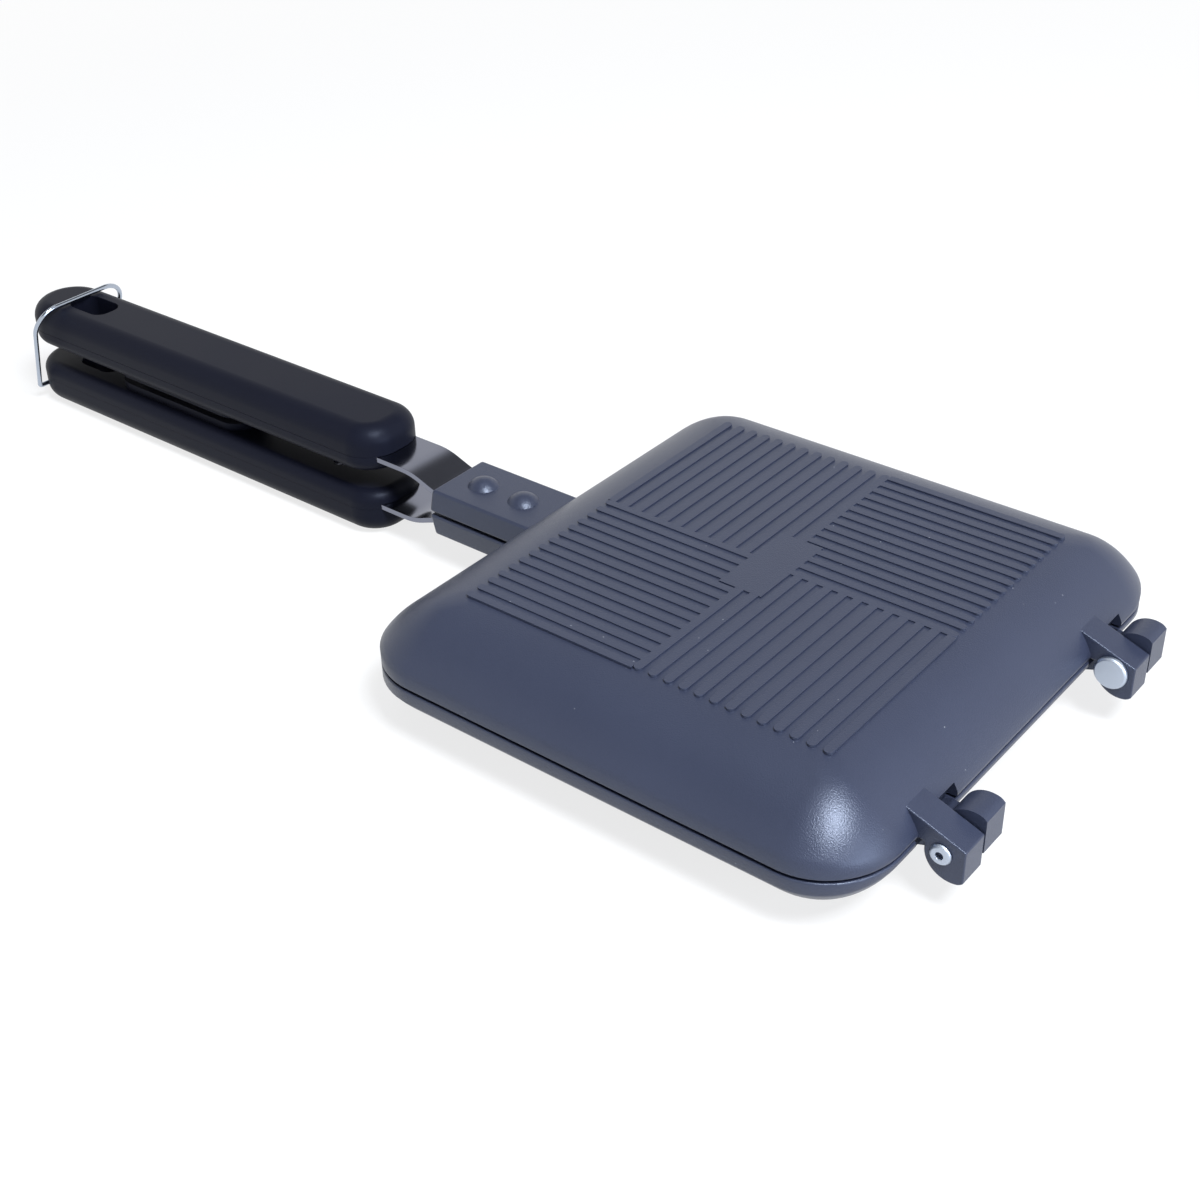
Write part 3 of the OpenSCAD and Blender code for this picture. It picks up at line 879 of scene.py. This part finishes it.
class PIEIRON_OT_bail(bpy.types.Operator):
    """Bends the wire bail"""
    bl_idname = "pieiron.bail"
    bl_label = "Wire bail"

    def execute(self, context):
        path = bail_path()
        curve = bpy.data.curves.new("wire_bail_piece", "CURVE")
        curve.dimensions = "3D"
        curve.bevel_depth = WIRE_RADIUS
        curve.bevel_resolution = 6
        curve.use_fill_caps = True
        spline = curve.splines.new("POLY")
        spline.points.add(len(path) - 1)
        place = (Matrix.Translation(BAIL_PIVOT)
                 @ Matrix.Rotation(-atan2(BAIL_RISE, BAIL_LEAN), 4, "Y"))
        for point, where in zip(spline.points, path):
            point.co = (*(place @ where), 1)
        piece = bpy.data.objects.new("wire_bail_piece", curve)
        context.scene.collection.objects.link(piece)
        activate(piece)
        bpy.ops.object.convert(target="MESH")
        piece = context.object
        outward(piece)
        smooth(piece, 50)
        finish_piece(piece, "bail", "bail_wire", wire_material(), "wire_bail")
        return {"FINISHED"}


class PIEIRON_OT_stage(bpy.types.Operator):
    """Sets the floor, the lamps, the world and the camera"""
    bl_idname = "pieiron.stage"
    bl_label = "Stage"

    def execute(self, context):
        make_floor()
        make_lamps()
        make_world()
        make_camera()
        return {"FINISHED"}


FLOOR_SIZE = 8
FLOOR_DROP = 0.4 * MM


def make_floor():
    bpy.ops.mesh.primitive_plane_add(size=FLOOR_SIZE, location=(0, 0, -FLOOR_DROP))
    floor = bpy.context.object
    floor.name = floor.data.name = "floor"
    settle(floor)
    dress(floor, floor_material())


def lamp(name, place, aim, size, power, colour=(1, 1, 1)):
    bpy.ops.object.light_add(type="AREA", location=place)
    light = bpy.context.object
    light.name = light.data.name = name
    light.data.shape = "RECTANGLE"
    light.data.size, light.data.size_y = size
    light.data.energy = power
    light.data.color = colour
    light.rotation_euler = (Vector(aim) - Vector(place)).to_track_quat("-Z", "Y").to_euler()
    return light


def make_lamps():
    lamp("key softbox", (0.62, -0.28, 1.1), (0.06, -0.06, 0.02),
         (0.38, 0.38), 32, (0.92, 0.96, 1))
    lamp("overhead softbox", (-0.1, 0, 1.6), (-0.1, 0, 0),
         (1.4, 1.4), 5.5, (0.92, 0.95, 1))
    lamp("hinge side softbox", (1.5, -0.1, 0.35), (0.05, 0, 0.02),
         (1.2, 0.5), 15, (0.76, 0.85, 1))


def make_world():
    world = bpy.context.scene.world or bpy.data.worlds.new("World")
    bpy.context.scene.world = world
    world.use_nodes = True
    tree = world.node_tree
    back = tree.nodes["Background"]
    back.inputs["Color"].default_value = (0.86, 0.9, 1.0, 1)
    back.inputs["Strength"].default_value = 0.24
    white = add(tree, "ShaderNodeBackground", Strength=1.0)
    place = add(tree, "ShaderNodeTexCoord")
    split = add(tree, "ShaderNodeSeparateXYZ")
    tree.links.new(place.outputs["Generated"], split.inputs[0])
    ceiling = add(tree, "ShaderNodeMapRange", interpolation_type="SMOOTHSTEP")
    for name, value in (("From Min", 0.6), ("From Max", 0.76), ("To Min", 1.0), ("To Max", 0.17)):
        ceiling.inputs[name].default_value = value
    tree.links.new(split.outputs["Z"], ceiling.inputs["Value"])
    tree.links.new(ceiling.outputs["Result"], white.inputs["Color"])
    mixed = add(tree, "ShaderNodeMixShader")
    tree.links.new(seen_rays(tree), mixed.inputs["Fac"])
    tree.links.new(back.outputs[0], mixed.inputs[1])
    tree.links.new(white.outputs[0], mixed.inputs[2])
    tree.links.new(mixed.outputs[0], tree.nodes["World Output"].inputs["Surface"])


# The camera fitted to the photograph
CAMERA_PLACE = Vector((214.41, -332.40, 286.48)) * MM
CAMERA_TURN = Matrix(((0.78244, -0.32938, 0.52849),
                      (0.62236, 0.44280, -0.64545),
                      (-0.02142, 0.83393, 0.55145)))
CAMERA_LENS = 53.898
PHOTO_SENSOR = 36


def make_camera():
    bpy.ops.object.camera_add()
    camera = bpy.context.object
    camera.name = camera.data.name = "photo camera"
    camera.data.lens = CAMERA_LENS
    camera.data.sensor_width = PHOTO_SENSOR
    camera.data.sensor_fit = "HORIZONTAL"
    camera.data.clip_start = 0.01
    camera.matrix_world = Matrix.Translation(CAMERA_PLACE) @ CAMERA_TURN.to_4x4()
    bpy.context.scene.camera = camera


class PIEIRON_PT_panel(bpy.types.Panel):
    """Lists the pieces of the pie iron in the sidebar"""
    bl_label = "Pie iron"
    bl_idname = "PIEIRON_PT_panel"
    bl_space_type = "VIEW_3D"
    bl_region_type = "UI"
    bl_category = "Pie iron"

    def draw(self, context):
        for group in (context.scene.pie_iron_pan, context.scene.pie_iron_colours):
            box = self.layout.box()
            for name in group.bl_rna.properties.keys():
                if name not in ("rna_type", "name"):
                    box.prop(group, name)
        for operator in PIECES:
            self.layout.operator(operator.bl_idname)


PIECES = (PIEIRON_OT_pans, PIEIRON_OT_grips, PIEIRON_OT_straps, PIEIRON_OT_fasteners,
          PIEIRON_OT_bail, PIEIRON_OT_stage)
CLASSES = (PieIronPan, PieIronColours) + PIECES + (PIEIRON_PT_panel,)


def register():
    for cls in CLASSES:
        bpy.utils.register_class(cls)
    bpy.types.Scene.pie_iron_pan = bpy.props.PointerProperty(type=PieIronPan)
    bpy.types.Scene.pie_iron_colours = bpy.props.PointerProperty(type=PieIronColours)


def unregister():
    del bpy.types.Scene.pie_iron_colours
    del bpy.types.Scene.pie_iron_pan
    for cls in reversed(CLASSES):
        bpy.utils.unregister_class(cls)


def main():
    register()
    bpy.context.scene.view_settings.view_transform = "Standard"
    bpy.ops.pieiron.pans()
    bpy.ops.pieiron.grips()
    bpy.ops.pieiron.straps()
    bpy.ops.pieiron.fasteners()
    bpy.ops.pieiron.bail()
    bpy.ops.pieiron.stage()


if __name__ == "__main__":
    main()
